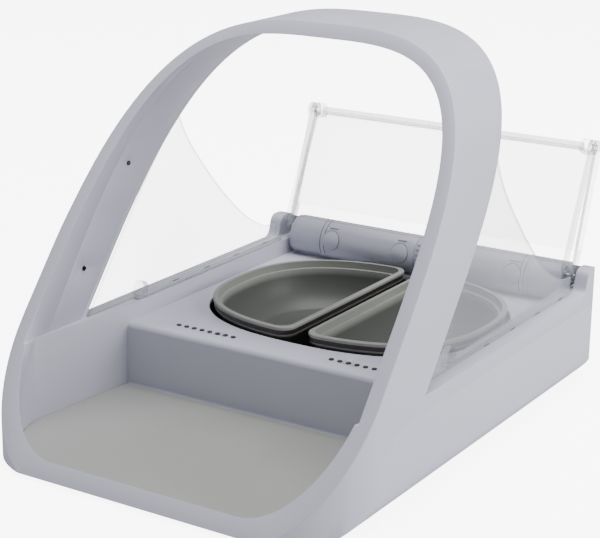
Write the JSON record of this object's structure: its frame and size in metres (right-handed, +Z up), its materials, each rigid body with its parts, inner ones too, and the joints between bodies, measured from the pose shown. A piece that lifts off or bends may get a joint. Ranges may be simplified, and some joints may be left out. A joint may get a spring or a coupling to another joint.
{
  "type": "automatic pet feeder",
  "caption": "Open pet feeder with a leaning hoop over a matted bay, lift-out half-moon bowls, clear side shields and a folding clear lid.",
  "frame": {"origin": "on the ground, at the middle of the box that holds the feeder with its lid folded open", "axes": "+Z up, +Y from the front lip to the lid, +X to the right seen from the front"},
  "size_m": [0.228, 0.3376, 0.224],
  "materials": {
    "shell_plastic": "fine satin moulded plastic, light lavender grey",
    "base_plastic": "satin moulded plastic, lavender grey",
    "dark_plastic": "dark brown satin plastic",
    "mat_rubber": "smooth matt grey-green rubber",
    "bowl_plastic": "satin grey-green plastic",
    "seal_rubber": "matt dark brown rubber",
    "clear_plastic": "clear polished plastic",
    "frosted_plastic": "pale frosted plastic",
    "light_lens": "small pale indicator lens",
    "dark_lens": "dark infra-red lens",
    "button_plastic": "satin plastic button",
    "circuit_board": "green laminate board with black parts",
    "copper_coil": "varnished flat copper winding",
    "motor_metal": "plated motor can",
    "steel": "plain bright steel",
    "cell_jacket": "printed shrink jacket, no lettering",
    "foot_rubber": "matt dark rubber"
  },
  "bodies": {
    "root": {"arch_shell": "shell_plastic", "arch_liner": "shell_plastic", "base_shell": "shell_plastic", "base_plate": "base_plastic", "tray": "shell_plastic", "bowl_well": "dark_plastic", "hinge_barrel": "shell_plastic", "pod_cover_left": "shell_plastic", "pod_cover_right": "shell_plastic", "pod_caps": "shell_plastic", "status_lens": "light_lens", "gear_motor": "motor_metal", "motor_saddle": "base_plastic", "side_shield_left": "clear_plastic", "side_shield_right": "clear_plastic", "sensor_lenses": "dark_lens", "sensor_boards": "circuit_board", "reader_coil": "copper_coil", "main_board": "circuit_board", "switch_board": "circuit_board", "battery_cells": "cell_jacket", "battery_contacts": "steel", "feet": "foot_rubber", "case_screws": "steel"},
    "lid": {"lid_rear_panel": "clear_plastic", "lid_knuckle_pins": "clear_plastic", "lid_knuckle_rod": "frosted_plastic", "lid_shaft": "steel", "lid_stub_pin": "steel"},
    "lid_flap": {"lid_front_panel": "clear_plastic", "lid_foot_pins": "clear_plastic"},
    "bowl_left_body": {"bowl_left": "bowl_plastic", "bowl_seal_left": "seal_rubber"},
    "bowl_right_body": {"bowl_right": "bowl_plastic", "bowl_seal_right": "seal_rubber"},
    "mat_body": {"feeding_mat": "mat_rubber"},
    "button_left_body": {"button_left": "button_plastic"},
    "button_right_body": {"button_right": "button_plastic"},
    "door_left_body": {"battery_door_left": "base_plastic"},
    "door_right_body": {"battery_door_right": "base_plastic"}
  },
  "joints": [
    {"name": "lid_hinge", "type": "hinge", "parent": "root", "child": "lid", "pos_m": [0, 0.13846, 0.0635], "axis": [-1, 0, 0], "range_deg": [-107.66, 0]},
    {"name": "lid_knuckle", "type": "hinge", "parent": "lid", "child": "lid_flap", "pos_m": [0, 0.16386, 0.1387], "axis": [-1, 0, 0], "range_deg": [0, 170.18]},
    {"name": "bowl_left_lift", "type": "slide", "parent": "root", "child": "bowl_left_body", "axis": [0, 0, 1], "range_m": [0, 0.045]},
    {"name": "bowl_right_lift", "type": "slide", "parent": "root", "child": "bowl_right_body", "axis": [0, 0, 1], "range_m": [0, 0.045]},
    {"name": "mat_lift", "type": "slide", "parent": "root", "child": "mat_body", "axis": [0, 0, 1], "range_m": [0, 0.025]},
    {"name": "button_left_press", "type": "slide", "parent": "root", "child": "button_left_body", "axis": [0, -1, 0], "range_m": [0, 0.0015], "stiffness_N_per_m": 600},
    {"name": "button_right_press", "type": "slide", "parent": "root", "child": "button_right_body", "axis": [0, -1, 0], "range_m": [0, 0.0015], "stiffness_N_per_m": 600},
    {"name": "battery_door_left_slide", "type": "slide", "parent": "root", "child": "door_left_body", "axis": [0, 1, 0], "range_m": [0, 0.008]},
    {"name": "battery_door_right_slide", "type": "slide", "parent": "root", "child": "door_right_body", "axis": [0, 1, 0], "range_m": [0, 0.008]}
  ],
  "couplings": [
    {"joint": "lid_knuckle", "follows": "lid_hinge", "ratio": -1.5807}
  ]
}
